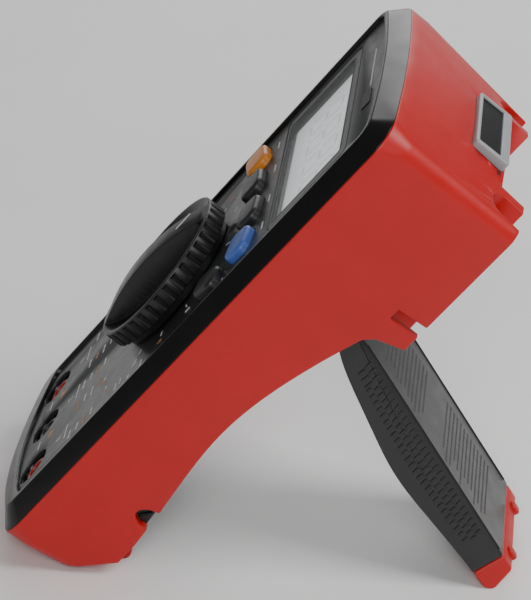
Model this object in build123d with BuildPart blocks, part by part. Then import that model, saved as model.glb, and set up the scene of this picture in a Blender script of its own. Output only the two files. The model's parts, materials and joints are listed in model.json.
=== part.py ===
from build123d import *
import math
import os

# A handheld digital multimeter leaning on its open tilt stand.
#
# It is designed lying on its back in its own frame, in millimetres: X to the right seen
# from the front, Y along the length towards the top end, Z out of the face, and Z = 0 on
# the face plate. The last section stands every piece up on its heel and its stand.

# ---- Body ----
RIM_Z = -4.0              # joint between the black rim and the red holster
CREST_Z = 1.0             # top of the black rim
PARTING_Z = -14.0         # joint between the front and rear shells, inside the holster
BACK_Z = -52.5            # back of the probe holders
TOP_Y = 91.1              # top end, on the centre line, at the rim
BOTTOM_Y = -96.4          # bottom end, on the centre line, at the rim
TOP_BOW = 3.2             # how far the corners fall behind the middle of each end
BOTTOM_BOW = 7.2
HALF_TOP = 47.4           # half width at the top corners, at the rim
HALF_BOTTOM = 43.2
SIDE_DRAFT = 8.0          # how far each side leans in between the rim and the back
END_DRAFT = 3.6
CORNER_R = 10.5
SHOULDER_Z = -11.0        # the corners are tighter behind this level
SHOULDER_R = 5.8
BACK_CORNER_R = 4.5
CREST_INSET = 4.4
CREST_CHIN = 1.2          # extra width of the rim across the bottom
PLATE_INSET = 6.2
PLATE_CHIN = 4.8
SKIN = 3.2                # thickness of the holster's walls
GAP = 0.1                 # fixed pieces that only lie beside each other
SHELL = 2.4               # wall of the two shells

# ---- Back ----
HOLDER_END_Y = 35.3       # lower end of the probe holder blocks
HOLDER_FLOOR_Z = -38.2    # joint between a holder block and the rear shell
HOLDER_INNER_X = 23.6
LIP_Y = -71.0             # the holster's back edge ends here, above the heel
GROOVE_X = 31.6           # centre of a probe groove
GROOVE_R = 4.4
GROOVE_FLOOR_Z = -41.2
STRAP_Y = 43.1
STRAP_WIDTH = 3.8
STRAP_FLOOR_Z = -42.2
HUMP_Z = -43.6            # rear shell between the two holders
HEEL_Y = -76.7            # the slanted heel starts here, at the back
HEEL_Z = -35.8
HEEL_DROP = 33.3          # it slants at 45 degrees and runs on past the bottom end
PAD_Y = -73.2
PAD_X = 35.4
NOTCH_Y = -58.0           # half-oval finger notch in each red side
NOTCH_Z = -34.0
NOTCH_HALF = 3.6
NOTCH_DEPTH = 5.4

# ---- Tilt stand ----
HINGE_Y = 20.4
HINGE_Z = -35.9
OPEN_ANGLE = 70.0
STAND_TOP_HALF = 21.0     # half width at the outer face
STAND_HALF = 24.2         # half width at the inner edge
STAND_FACE = 5.5          # outer face, measured out from the hinge line
STAND_WALL = 2.8
BARREL_R = 5.3
FOOT_A = 97.6             # centre of the foot's rounded end, along the stand
FOOT_B = -1.4
FOOT_R = 3.1
FOOT_START = 92.6         # where the stand ends and the foot begins
POCKET_HALF = 25.8
POCKET_FLOOR_Z = -26.4
POCKET_END_Y = -82.2
POCKET_TOP_Y = 27.4
PIN_R = 1.5
PIN_START = 18.0
RUNNING = 0.05            # radial clearance of a turning pin

# ---- Face ----
PLATE = 0.8
FLOOR_Z = -2.8            # inside of the front shell's face
KNOB_Y = -9.45
KNOB_R = 25.3
KNOB_FOOT_Z = 0.3
KNOB_TOP_Z = 13.2         # middle of the arched grip bar
BAR_HALF = 4.8            # half width of the knob's grip bar
SCOOP_Z = 4.8             # lowest part of the finger scoops
UNDERCUT_R = 22.6
UNDERCUT_Z = 2.8
SERRATIONS = 40
ROTOR_R = 17.0
ROTOR_TOP_Z = -3.1
ROTOR_FOOT_Z = -7.0
SCREW_R = 1.2
SKIRT_Z = 8.8
WINDOW_Y = 54.6
WINDOW = (73.0, 34.6)     # clear cover over the display
LCD_Y = 53.8
LCD = (63.6, 29.6)        # visible part of the display
SHAFT_R = 5.2
JACK_Y = -75.5
JACK_PITCH = 24.0
JACK_HOLE_R = 6.4
POST_R = 4.3
BORE_R = 2.0
POST_TOP_Z = -1.0
SLEEVE_R = 2.8
SLEEVE_END_Z = -22.0
BUTTON_TRAVEL = 1.0
BUTTON_TOP_Z = 2.6
BUTTON_FLANGE_Z = -4.6
BUTTON_GAP = 0.3
# Name, centre, width, height and turn of each button.
BUTTONS = [
    ("select_button", (-27.9, 25.0), 13.0, 9.4, 12),
    ("range_button", (-10.8, 25.4), 12.4, 9.2, 4),
    ("relative_button", (9.8, 27.0), 12.4, 9.2, -4),
    ("hold_button", (26.6, 24.9), 12.0, 9.2, -12),
    ("light_button", (30.8, 11.2), 9.2, 10.6, -24),
]

# ---- Inside ----
BOARD_TOP_Z = -7.9
BOARD = 1.6
BATTERY_Z = -21.8
BATTERY_Y = -58.0
BATTERY = (26.5, 48.5, 17.5)
DOOR_Z = -33.0
DOOR = 2.0
DOOR_HALF = 15.6
DOOR_Y = (-64.0, 7.0)
BULGE_HALF = 18.4
BULGE_Y = (-66.6, 9.6)
BOSS_R = 3.0
BOSSES = [(-32.5, 76.0), (32.5, 76.0), (-30.9, -72.0), (30.9, -72.0)]
PORT_Z = -36.7
PORT = (33.2, 12.4)
PORT_WINDOW = (30.0, 7.8)
PORT_WINDOW_Z = -35.6
PORT_FACE_Y = 90.8
PORT_DEPTH = 4.3
FUSE_X = 22.5
FUSE_Y = 33.0             # distance of the fuses' middle below the centre of the face
FUSE_Z = -16.4
FUSE_R = 5.1
FUSE_LENGTH = 38.0
DOOR_SCREW_X = 11.0
DOOR_SCREW_Y = 3.6

os.makedirs("parts", exist_ok=True)


# ---- Shared outlines ----

def outline(section, depth, inset, corner, chin=0.0):
    """Draw the body's rounded outline at one depth, moved in by inset, and by chin at the bottom."""
    lean = (RIM_Z - depth) / (RIM_Z - BACK_Z)
    top_half = HALF_TOP - lean * SIDE_DRAFT - inset
    bottom_half = HALF_BOTTOM - lean * SIDE_DRAFT - inset
    top = TOP_Y - lean * END_DRAFT - inset
    bottom = BOTTOM_Y + lean * END_DRAFT + inset + chin
    with BuildLine() as edge:
        ThreePointArc((-top_half, top - TOP_BOW), (0, top), (top_half, top - TOP_BOW))
        Line((top_half, top - TOP_BOW), (bottom_half, bottom + BOTTOM_BOW))
        ThreePointArc((bottom_half, bottom + BOTTOM_BOW), (0, bottom), (-bottom_half, bottom + BOTTOM_BOW))
        Line((-bottom_half, bottom + BOTTOM_BOW), (-top_half, top - TOP_BOW))
    make_face(edge.edges())
    fillet(section.vertices(), corner)


def holster_side():
    """Draw the holster seen from its side: flat holders, a hollow back and a slanted heel."""
    far = 110
    heel = (HEEL_Y, HEEL_Z)
    heel_end = (HEEL_Y - HEEL_DROP, HEEL_Z + HEEL_DROP)
    with BuildLine() as edge:
        Polyline(heel_end, (heel_end[0], far), (far, far), (far, BACK_Z), (HOLDER_END_Y, BACK_Z))
        Polyline((HOLDER_END_Y, BACK_Z), (33.2, -43.6), (30.6, -40.8))
        Spline((30.6, -40.8), (12.0, -35.2), (-19.0, -30.4), (-45.0, -32.7), (-68.0, -35.6))
        Polyline((-68.0, -35.6), heel, heel_end)
    make_face(edge.edges())


def shell_side(inset, back):
    """Draw the space inside the holster seen from its side, moved in by inset."""
    far = 110
    heel = (HEEL_Y, HEEL_Z + inset * math.sqrt(2))
    heel_end = (heel[0] - HEEL_DROP, heel[1] + HEEL_DROP)
    ledge = (31.0, HOLDER_FLOOR_Z + back)
    lip = (LIP_Y, -32.6 + back)
    with BuildLine() as edge:
        Polyline(heel_end, (heel_end[0], far), (far, far), (far, ledge[1]), ledge)
        Spline(ledge, (12.0, -35.1 + back), (-8.0, -31.9 + back), (-35.0, -31.9 + back), lip)
        Polyline(lip, heel, heel_end)
    make_face(edge.edges())


def shell_form(inset, back, top):
    """Return the solid inside the holster, moved in by inset, up to the top level."""
    with BuildPart() as form:
        with BuildSketch(Plane.XY.offset(top)) as front:
            outline(front, top, inset, CORNER_R - inset)
        with BuildSketch(Plane.XY.offset(BACK_Z)) as rear:
            outline(rear, BACK_Z, inset, max(BACK_CORNER_R - inset, 1.0))
        loft(ruled=True)
        with BuildSketch(Plane.YZ):
            shell_side(inset, back)
        extrude(amount=100, both=True, mode=Mode.INTERSECT)
        # The back stands out between the two probe holders.
        with BuildSketch(Plane.XY.offset(HOLDER_FLOOR_Z + back)):
            with Locations((0, HOLDER_END_Y - SKIN + back)):
                Rectangle(
                    2 * (HOLDER_INNER_X + SKIN - inset),
                    84.2 + SKIN - inset - HOLDER_END_Y + SKIN - back,
                    align=(Align.CENTER, Align.MIN),
                )
        extrude(amount=HUMP_Z - HOLDER_FLOOR_Z)
    return form.part


def drill(places, radius, top, bottom):
    """Cut round holes through the part being built, between two levels."""
    with BuildSketch(Plane.XY.offset(top)) as holes:
        with Locations(*places):
            Circle(radius)
    extrude(holes.sketch, amount=bottom - top, mode=Mode.SUBTRACT)


# ---- Red holster ----

holster_core = shell_form(SKIN, 0, RIM_Z)

with BuildPart() as holster:
    with BuildSketch(Plane.XY.offset(RIM_Z)) as rim_section:
        outline(rim_section, RIM_Z, 0, CORNER_R)
    with BuildSketch(Plane.XY.offset(SHOULDER_Z)) as shoulder_section:
        outline(shoulder_section, SHOULDER_Z, 0, SHOULDER_R)
    with BuildSketch(Plane.XY.offset(BACK_Z)) as back_section:
        outline(back_section, BACK_Z, 0, BACK_CORNER_R)
    loft(ruled=True)
    with BuildSketch(Plane.YZ):
        holster_side()
    extrude(amount=100, both=True, mode=Mode.INTERSECT)
    add(holster_core, mode=Mode.SUBTRACT)
    # The back is open above the heel, below the holder blocks.
    with BuildSketch(Plane.XY.offset(-22.0)):
        with Locations((0, LIP_Y)):
            Rectangle(2 * (HALF_BOTTOM - SIDE_DRAFT), HOLDER_END_Y - LIP_Y - 8, align=(Align.CENTER, Align.MIN))
    extrude(amount=-30, mode=Mode.SUBTRACT)
    # It is open between the two holder blocks as well.
    with BuildSketch(Plane.XY.offset(HUMP_Z)):
        with Locations((0, 0)):
            Rectangle(2 * HOLDER_INNER_X, 100, align=(Align.CENTER, Align.MIN))
    extrude(amount=-20, mode=Mode.SUBTRACT)
    with BuildSketch(Plane.XY.offset(-22.0)):
        Rectangle(2 * HOLDER_INNER_X, HOLDER_END_Y - SKIN + 0.1, align=(Align.CENTER, Align.MIN))
    extrude(amount=-30, mode=Mode.SUBTRACT)
    # Probe grooves, open to the back and at both ends.
    with BuildSketch(Plane.XZ.offset(-100)):
        with Locations((-GROOVE_X, GROOVE_FLOOR_Z - GROOVE_R), (GROOVE_X, GROOVE_FLOOR_Z - GROOVE_R)):
            Circle(GROOVE_R)
            Rectangle(2 * GROOVE_R, 20, align=(Align.CENTER, Align.MAX))
    extrude(amount=80, mode=Mode.SUBTRACT)
    # Strap slots across both holder blocks.
    with BuildSketch(Plane.YZ):
        with Locations((STRAP_Y, STRAP_FLOOR_Z)):
            Rectangle(STRAP_WIDTH, 20, align=(Align.CENTER, Align.MAX))
    extrude(amount=100, both=True, mode=Mode.SUBTRACT)
    # The stand's foot closes into the heel.
    with BuildSketch(Plane.XY.offset(POCKET_FLOOR_Z)):
        with Locations((0, POCKET_END_Y)):
            Rectangle(2 * POCKET_HALF, 60, align=(Align.CENTER, Align.MIN))
    extrude(amount=-20, mode=Mode.SUBTRACT)
    # Finger notches in both sides.
    with BuildSketch(Plane.YZ):
        with Locations((NOTCH_Y, NOTCH_Z - 0.5)):
            Ellipse(NOTCH_HALF, NOTCH_DEPTH + 0.5)
    extrude(amount=100, both=True, mode=Mode.SUBTRACT)
    # Opening for the data port in the top end.
    with BuildSketch(Plane.XZ.offset(-80)):
        with Locations((0, PORT_Z)):
            RectangleRounded(PORT[0], PORT[1], 1.2)
    extrude(amount=-20, mode=Mode.SUBTRACT)
    # Small round pads beside the heel.
    for side in (-1, 1):
        with BuildSketch(Plane.YZ.offset(side * PAD_X)):
            with Locations((PAD_Y, HEEL_Z + 1.6)):
                Circle(3.0)
        extrude(amount=1.6, both=True)
    # The pads stop at the rear shell.
    add(holster_core, mode=Mode.SUBTRACT)


# ---- Front shell and face ----

def button_outline(size, margin):
    """Draw a button's rounded outline, grown by a margin, on the current sketch."""
    RectangleRounded(size[0] + 2 * margin, size[1] + 2 * margin, 3.2 + margin)


def face_holes(margin, jack_radius):
    """Draw the holes for the shaft, the jacks and the buttons."""
    with Locations((0, KNOB_Y)):
        Circle(SHAFT_R + RUNNING + margin)
    with Locations((-JACK_PITCH, JACK_Y), (0, JACK_Y), (JACK_PITCH, JACK_Y)):
        Circle(jack_radius)
    for _, centre, width, height, turn in BUTTONS:
        with Locations(Location((centre[0], centre[1], 0), (0, 0, turn))):
            button_outline((width, height), BUTTON_GAP + margin)


with BuildPart() as front_case:
    # Rim, with its broad bevel.
    with BuildSketch(Plane.XY.offset(RIM_Z)) as rim_foot:
        outline(rim_foot, RIM_Z, 0, CORNER_R)
    with BuildSketch(Plane.XY.offset(CREST_Z)) as rim_crest:
        outline(rim_crest, RIM_Z, CREST_INSET, CORNER_R - CREST_INSET, CREST_CHIN)
    loft(ruled=True)
    with BuildSketch(Plane.XY.offset(-PLATE)) as plate_seat:
        outline(plate_seat, RIM_Z, PLATE_INSET, CORNER_R - PLATE_INSET, PLATE_CHIN)
    extrude(amount=10, mode=Mode.SUBTRACT)
    # Wall inside the holster, down to the parting line.
    with BuildSketch(Plane.XY.offset(RIM_Z)) as wall_top:
        outline(wall_top, RIM_Z, SKIN + GAP, CORNER_R - SKIN)
    with BuildSketch(Plane.XY.offset(PARTING_Z)) as wall_foot:
        outline(wall_foot, PARTING_Z, SKIN + GAP, CORNER_R - SKIN)
    loft(ruled=True)
    with BuildSketch(Plane.XY.offset(FLOOR_Z)) as hollow_top:
        outline(hollow_top, FLOOR_Z, SKIN + GAP + SHELL, CORNER_R - SKIN - SHELL)
    with BuildSketch(Plane.XY.offset(PARTING_Z)) as hollow_foot:
        outline(hollow_foot, PARTING_Z, SKIN + GAP + SHELL, CORNER_R - SKIN - SHELL)
    loft(ruled=True, mode=Mode.SUBTRACT)
    # Cups around the jack posts, and bosses for the case screws.
    with BuildSketch(Plane.XY.offset(FLOOR_Z)):
        with Locations((-JACK_PITCH, JACK_Y), (0, JACK_Y), (JACK_PITCH, JACK_Y)):
            Circle(JACK_HOLE_R + 1.4)
    extrude(amount=-9.6)
    with BuildSketch(Plane.XY.offset(FLOOR_Z)):
        with Locations(*BOSSES):
            Circle(BOSS_R)
    extrude(amount=PARTING_Z - FLOOR_Z)
    drill([(-JACK_PITCH, JACK_Y), (0, JACK_Y), (JACK_PITCH, JACK_Y)], JACK_HOLE_R, 0, -11.0)
    drill([(-JACK_PITCH, JACK_Y), (0, JACK_Y), (JACK_PITCH, JACK_Y)], POST_R + GAP, 0, -14.0)
    drill(BOSSES, 1.2, PARTING_Z, PARTING_Z + 8.0)
    # Shaft and button holes, and the stepped opening for the display.
    with BuildSketch(Plane.XY):
        face_holes(0, JACK_HOLE_R)
    extrude(amount=FLOOR_Z - 0.5, mode=Mode.SUBTRACT)
    with BuildSketch(Plane.XY):
        with Locations((0, WINDOW_Y)):
            RectangleRounded(WINDOW[0] + 2 * GAP, WINDOW[1] + 2 * GAP, 3.1)
    extrude(amount=-1.5, mode=Mode.SUBTRACT)
    with BuildSketch(Plane.XY):
        with Locations((0, LCD_Y)):
            RectangleRounded(LCD[0] + 1.0, LCD[1] + 1.0, 1.0)
    extrude(amount=FLOOR_Z - 0.5, mode=Mode.SUBTRACT)

with BuildPart() as face_panel:
    with BuildSketch() as panel_section:
        outline(panel_section, RIM_Z, PLATE_INSET + GAP, CORNER_R - PLATE_INSET - GAP, PLATE_CHIN)
        with Locations((0, WINDOW_Y)):
            RectangleRounded(WINDOW[0] + 2 * GAP, WINDOW[1] + 2 * GAP, 3.1, mode=Mode.SUBTRACT)
    extrude(amount=-PLATE)
    with BuildSketch(Plane.XY):
        face_holes(0, JACK_HOLE_R)
    extrude(amount=-2 * PLATE, mode=Mode.SUBTRACT)

with BuildPart() as display_window:
    with BuildSketch(Plane.XY.offset(-1.5)):
        with Locations((0, WINDOW_Y)):
            RectangleRounded(WINDOW[0], WINDOW[1], 3.0)
    extrude(amount=1.35)
    chamfer(display_window.faces().sort_by(Axis.Z)[-1].edges(), 0.3)


# ---- Rear shell ----

with BuildPart() as rear_cavity:
    add(shell_form(SKIN + GAP + SHELL, SHELL + GAP, PARTING_Z))
    # Floor and walls of the pocket the stand closes into.
    with BuildSketch(Plane.XY.offset(POCKET_FLOOR_Z + SHELL)):
        with Locations((0, POCKET_END_Y - SHELL)):
            Rectangle(
                2 * (POCKET_HALF + SHELL),
                POCKET_TOP_Y - POCKET_END_Y + 2 * SHELL,
                align=(Align.CENTER, Align.MIN),
            )
    extrude(amount=-40, mode=Mode.SUBTRACT)
    # Screw bosses.
    with BuildSketch(Plane.XY.offset(PARTING_Z)):
        with Locations(*BOSSES):
            Circle(BOSS_R)
    extrude(amount=-40, mode=Mode.SUBTRACT)

with BuildPart() as rear_case:
    add(shell_form(SKIN + GAP, GAP, PARTING_Z))
    add(rear_cavity.part, mode=Mode.SUBTRACT)
    # Ears that carry the hinge pins.
    with BuildSketch(Plane.YZ.offset(-POCKET_HALF - SHELL)):
        with Locations((HINGE_Y, HINGE_Z)):
            Circle(3.6)
    extrude(amount=2 * (POCKET_HALF + SHELL))
    with BuildSketch(Plane.XY.offset(POCKET_FLOOR_Z)):
        with Locations((0, POCKET_END_Y)):
            Rectangle(2 * POCKET_HALF, POCKET_TOP_Y - POCKET_END_Y, align=(Align.CENTER, Align.MIN))
    extrude(amount=-20, mode=Mode.SUBTRACT)
    # Raised battery compartment, between the stand's two sides.
    with BuildSketch(Plane.XY.offset(POCKET_FLOOR_Z + SHELL)):
        with Locations((0, BULGE_Y[0])):
            Rectangle(2 * BULGE_HALF, BULGE_Y[1] - BULGE_Y[0], align=(Align.CENTER, Align.MIN))
    extrude(amount=DOOR_Z - POCKET_FLOOR_Z - SHELL)
    with BuildSketch(Plane.XY.offset(PARTING_Z)):
        with Locations((0, DOOR_Y[0] + 0.8)):
            Rectangle(2 * DOOR_HALF - 1.6, DOOR_Y[1] - DOOR_Y[0] - 1.6, align=(Align.CENTER, Align.MIN))
    extrude(amount=-30, mode=Mode.SUBTRACT)
    with BuildSketch(Plane.XY.offset(DOOR_Z)):
        with Locations((0, DOOR_Y[0] - GAP)):
            Rectangle(
                2 * (DOOR_HALF + GAP),
                DOOR_Y[1] - DOOR_Y[0] + 2 * GAP,
                align=(Align.CENTER, Align.MIN),
            )
    extrude(amount=DOOR + GAP, mode=Mode.SUBTRACT)
    # Two bosses take the door's screws.
    with BuildSketch(Plane.XY.offset(DOOR_Z + DOOR + GAP)):
        with Locations((-DOOR_SCREW_X, DOOR_SCREW_Y), (DOOR_SCREW_X, DOOR_SCREW_Y)):
            Rectangle(8, 8)
    extrude(amount=7.0)
    drill([(-DOOR_SCREW_X, DOOR_SCREW_Y), (DOOR_SCREW_X, DOOR_SCREW_Y)], 1.4, DOOR_Z + 8.0, DOOR_Z)
    # Holes for the hinge pins.
    with BuildSketch(Plane.YZ):
        with Locations((HINGE_Y, HINGE_Z)):
            Circle(PIN_R + 0.02)
    extrude(amount=POCKET_HALF + SHELL + 1, both=True, mode=Mode.SUBTRACT)
    # Screw holes through the bosses.
    drill(BOSSES, 1.6, PARTING_Z, -50)
    drill(BOSSES, 2.7, -24, -50)
    # Light opening behind the data port.
    with BuildSketch(Plane.XZ.offset(-70)):
        with Locations((0, PORT_Z)):
            Rectangle(22, 6)
    extrude(amount=-20, mode=Mode.SUBTRACT)


# ---- Tilt stand, drawn closed along the back, then swung open ----

FACE_Z = HINGE_Z - STAND_FACE
STAND_INNER = [(7, 1.6), (12, 3.2), (20, 4.7), (36, 6.8), (51, 8.2), (68, 7.1), (84, 5.4), (FOOT_START, 4.7)]


def stand_bar(start, end, inset, plate):
    """Return the stand's tapered bar between two distances, moved in at the sides and the face."""
    with BuildPart() as bar:
        with BuildSketch(Plane.XZ.offset(start - HINGE_Y)):
            with BuildLine():
                Polyline(
                    (-STAND_TOP_HALF + inset, FACE_Z + plate),
                    (STAND_TOP_HALF - inset, FACE_Z + plate),
                    (STAND_HALF - inset, HINGE_Z + 9),
                    (-STAND_HALF + inset, HINGE_Z + 9),
                    close=True,
                )
            make_face()
        extrude(amount=end - start)
    return bar.part


stand_outside = stand_bar(0, FOOT_START, 0, 0)
stand_hollow = stand_bar(BARREL_R + 2.4, FOOT_START - 4.0, STAND_WALL, STAND_WALL)
foot_outside = stand_bar(FOOT_START + GAP, FOOT_A + FOOT_R + 1, 0, 0)

with BuildPart() as stand_plate:
    # Side shape: flat outer face, sides that deepen towards the middle of the stand.
    with BuildSketch(Plane.YZ):
        with BuildLine():
            Polyline(
                (HINGE_Y - 7.0, HINGE_Z + 1.6),
                (HINGE_Y, HINGE_Z),
                (HINGE_Y, FACE_Z),
                (HINGE_Y - FOOT_START, FACE_Z),
                (HINGE_Y - FOOT_START, HINGE_Z + 4.7),
            )
            Spline([(HINGE_Y - a, HINGE_Z + b) for a, b in STAND_INNER])
        make_face()
    extrude(amount=STAND_HALF, both=True)
    add(stand_outside, mode=Mode.INTERSECT)
    add(stand_hollow, mode=Mode.SUBTRACT)
    # Hinge barrel.
    with BuildSketch(Plane.YZ.offset(-STAND_HALF)):
        with Locations((HINGE_Y, HINGE_Z)):
            Circle(BARREL_R)
    extrude(amount=2 * STAND_HALF)
    with BuildSketch(Plane.YZ):
        with Locations((HINGE_Y, HINGE_Z)):
            Circle(PIN_R + RUNNING)
    extrude(amount=STAND_HALF + 1, both=True, mode=Mode.SUBTRACT)

with BuildPart() as stand_foot:
    # Blunt tip that the meter rests on, rounded along its lower edge.
    tip_y = HINGE_Y - FOOT_A
    tip_z = HINGE_Z - FOOT_B
    start_y = HINGE_Y - FOOT_START
    with BuildSketch(Plane.YZ):
        with BuildLine():
            Polyline((tip_y, tip_z + FOOT_R), (start_y, HINGE_Z + 4.7), (start_y, FACE_Z), (tip_y - 0.8, FACE_Z))
            Line((tip_y - 0.8, FACE_Z), (tip_y - FOOT_R, tip_z))
            ThreePointArc(
                (tip_y - FOOT_R, tip_z),
                (tip_y - FOOT_R * math.sqrt(0.5), tip_z + FOOT_R * math.sqrt(0.5)),
                (tip_y, tip_z + FOOT_R),
            )
        make_face()
    extrude(amount=STAND_HALF, both=True)
    add(foot_outside, mode=Mode.INTERSECT)

with BuildPart() as hinge_pins:
    with BuildSketch(Plane.YZ.offset(PIN_START)):
        with Locations((HINGE_Y, HINGE_Z)):
            Circle(PIN_R)
    extrude(amount=POCKET_HALF + SHELL - PIN_START)
    mirror(about=Plane.YZ)


# ---- Selector knob ----

with BuildPart() as selector_knob:
    with BuildSketch(Plane.XY.offset(KNOB_FOOT_Z)):
        with Locations((0, KNOB_Y)):
            Circle(UNDERCUT_R)
    extrude(amount=SKIRT_Z - KNOB_FOOT_Z)
    with BuildSketch(Plane.XY.offset(UNDERCUT_Z)):
        with Locations((0, KNOB_Y)):
            Circle(KNOB_R)
    extrude(amount=SKIRT_Z - UNDERCUT_Z)
    # Dished finger scoops.
    with BuildSketch(Plane((0, KNOB_Y, 0), x_dir=(1, 0, 0), z_dir=(0, -1, 0))):
        with BuildLine():
            Spline((0, SCOOP_Z), (12.0, SCOOP_Z + 0.2), (19.5, 6.4), (KNOB_R - 1.3, SKIRT_Z))
            Polyline((KNOB_R - 1.3, SKIRT_Z), (KNOB_R - 1.3, SKIRT_Z + 1), (0, SKIRT_Z + 1), (0, SCOOP_Z))
        make_face()
    revolve(axis=Axis((0, KNOB_Y, 0), (0, 0, 1)), mode=Mode.SUBTRACT)
    # Grip bar across the middle, arched down to the rim at its ends.
    with BuildSketch(Plane.YZ):
        with BuildLine():
            bar_ends = (KNOB_Y - 24.6, KNOB_Y + 24.6)
            Polyline(
                (bar_ends[0], SKIRT_Z - 0.2),
                (bar_ends[0], SCOOP_Z - 0.6),
                (bar_ends[1], SCOOP_Z - 0.6),
                (bar_ends[1], SKIRT_Z - 0.2),
            )
            ThreePointArc((bar_ends[0], SKIRT_Z - 0.2), (KNOB_Y, KNOB_TOP_Z), (bar_ends[1], SKIRT_Z - 0.2))
        make_face()
    extrude(amount=BAR_HALF, both=True)
    # Serrations round the skirt.
    with BuildSketch(Plane.XY.offset(KNOB_FOOT_Z)):
        with Locations((0, KNOB_Y)):
            with PolarLocations(KNOB_R + 0.35, SERRATIONS):
                Circle(0.95)
    extrude(amount=SKIRT_Z - KNOB_FOOT_Z - 0.9, mode=Mode.SUBTRACT)
    # Shaft, bored for the screw.
    with BuildSketch(Plane.XY.offset(KNOB_FOOT_Z)):
        with Locations((0, KNOB_Y)):
            Circle(SHAFT_R)
    extrude(amount=ROTOR_TOP_Z - KNOB_FOOT_Z)
    drill([(0, KNOB_Y)], SCREW_R, KNOB_FOOT_Z + 2, ROTOR_TOP_Z)

with BuildPart() as selector_rotor:
    with BuildSketch(Plane.XY.offset(ROTOR_FOOT_Z)):
        with Locations((0, KNOB_Y)):
            Circle(ROTOR_R)
            Circle(SCREW_R, mode=Mode.SUBTRACT)
    extrude(amount=ROTOR_TOP_Z - ROTOR_FOOT_Z)
    drill([(0, KNOB_Y)], 2.7, ROTOR_FOOT_Z + 1.6, ROTOR_FOOT_Z)

with BuildPart() as rotor_contacts:
    with BuildSketch(Plane.XY.offset(ROTOR_FOOT_Z - 0.6)):
        with Locations((0, KNOB_Y)):
            with PolarLocations(10.5, 3):
                Rectangle(7.0, 1.6)
    extrude(amount=0.6)

with BuildPart() as knob_screw:
    with BuildSketch(Plane.XY.offset(ROTOR_FOOT_Z)):
        with Locations((0, KNOB_Y)):
            Circle(2.6)
    extrude(amount=1.5)
    with BuildSketch(Plane.XY.offset(ROTOR_FOOT_Z)):
        with Locations((0, KNOB_Y)):
            Circle(SCREW_R)
    extrude(amount=KNOB_FOOT_Z + 1.4 - ROTOR_FOOT_Z)


# ---- Buttons ----

def button_solid(centre, width, height, turn):
    """Return one push button: a pillow-topped cap on a flange that keeps it in the case."""
    with BuildPart() as cap:
        with BuildSketch(Plane.XY.offset(BUTTON_FLANGE_Z)) as cap_section:
            with Locations(Location((centre[0], centre[1], 0), (0, 0, turn))):
                button_outline((width, height), 0)
        extrude(amount=BUTTON_TOP_Z - BUTTON_FLANGE_Z)
        fillet(cap.faces().sort_by(Axis.Z)[-1].edges(), 1.3)
        with BuildSketch(Plane.XY.offset(BUTTON_FLANGE_Z)) as flange_section:
            with Locations(Location((centre[0], centre[1], 0), (0, 0, turn))):
                button_outline((width, height), 1.0)
        extrude(amount=FLOOR_Z - GAP - BUTTON_FLANGE_Z)
    return cap.part


with BuildPart() as select_button:
    add(button_solid(*BUTTONS[0][1:]))

with BuildPart() as range_button:
    add(button_solid(*BUTTONS[1][1:]))

with BuildPart() as relative_button:
    add(button_solid(*BUTTONS[2][1:]))

with BuildPart() as hold_button:
    add(button_solid(*BUTTONS[3][1:]))

with BuildPart() as light_button:
    add(button_solid(*BUTTONS[4][1:]))

with BuildPart() as keypad_mat:
    with BuildSketch(Plane.XY.offset(BOARD_TOP_Z)):
        with Locations((0, 26.2)):
            RectangleRounded(72, 15.0, 2)
        with Locations((33.2, 12.5)):
            RectangleRounded(8, 14.0, 2)
    extrude(amount=0.8)
    for _, dome_centre, _, _, _ in BUTTONS:
        with BuildSketch(Plane.XY.offset(BOARD_TOP_Z + 0.8)):
            with Locations(dome_centre):
                Circle(3.0)
        extrude(amount=BUTTON_FLANGE_Z - BUTTON_TRAVEL - 0.1 - BOARD_TOP_Z - 0.8)


# ---- Display ----

with BuildPart() as lcd_glass:
    with BuildSketch(Plane.XY.offset(FLOOR_Z - 1.9)):
        with Locations((0, LCD_Y)):
            Rectangle(67.0, 33.0)
    extrude(amount=1.8)

with BuildPart() as lcd_frame:
    with BuildSketch(Plane.XY.offset(BOARD_TOP_Z)):
        with Locations((0, LCD_Y)):
            Rectangle(70.0, 36.0)
            Rectangle(67.2, 33.2, mode=Mode.SUBTRACT)
    extrude(amount=FLOOR_Z - GAP - BOARD_TOP_Z)

with BuildPart() as backlight:
    with BuildSketch(Plane.XY.offset(-6.6)):
        with Locations((0, LCD_Y)):
            Rectangle(64.0, 25.0)
    extrude(amount=1.8)

with BuildPart() as zebra_strips:
    with BuildSketch(Plane.XY.offset(BOARD_TOP_Z)):
        with Locations((0, LCD_Y - 14.8), (0, LCD_Y + 14.8)):
            Rectangle(60.0, 2.2)
    extrude(amount=FLOOR_Z - 1.9 - BOARD_TOP_Z)


# ---- Circuit board and its parts ----

with BuildPart() as circuit_board:
    with BuildSketch(Plane.XY.offset(BOARD_TOP_Z - BOARD)) as board_section:
        outline(board_section, BOARD_TOP_Z, 7.2, 4.0)
        with Locations(*BOSSES):
            Circle(BOSS_R + 1.4, mode=Mode.SUBTRACT)
        with Locations((-JACK_PITCH, JACK_Y), (0, JACK_Y), (JACK_PITCH, JACK_Y)):
            Circle(JACK_HOLE_R + 1.8, mode=Mode.SUBTRACT)
        # The board ends above the jacks.
        with Locations((0, JACK_Y - 8)):
            Rectangle(2 * HALF_BOTTOM, 16, mode=Mode.SUBTRACT)
        with Locations(BOSSES[2], BOSSES[3]):
            Rectangle(14, 14, mode=Mode.SUBTRACT)
    extrude(amount=BOARD)

with BuildPart() as measuring_chips:
    with BuildSketch(Plane.XY.offset(BOARD_TOP_Z - BOARD)):
        with Locations((0, 54)):
            Rectangle(14.0, 14.0)
        with Locations((-21, 62), (20, 46)):
            Rectangle(6.0, 9.0)
    extrude(amount=-1.6)

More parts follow.
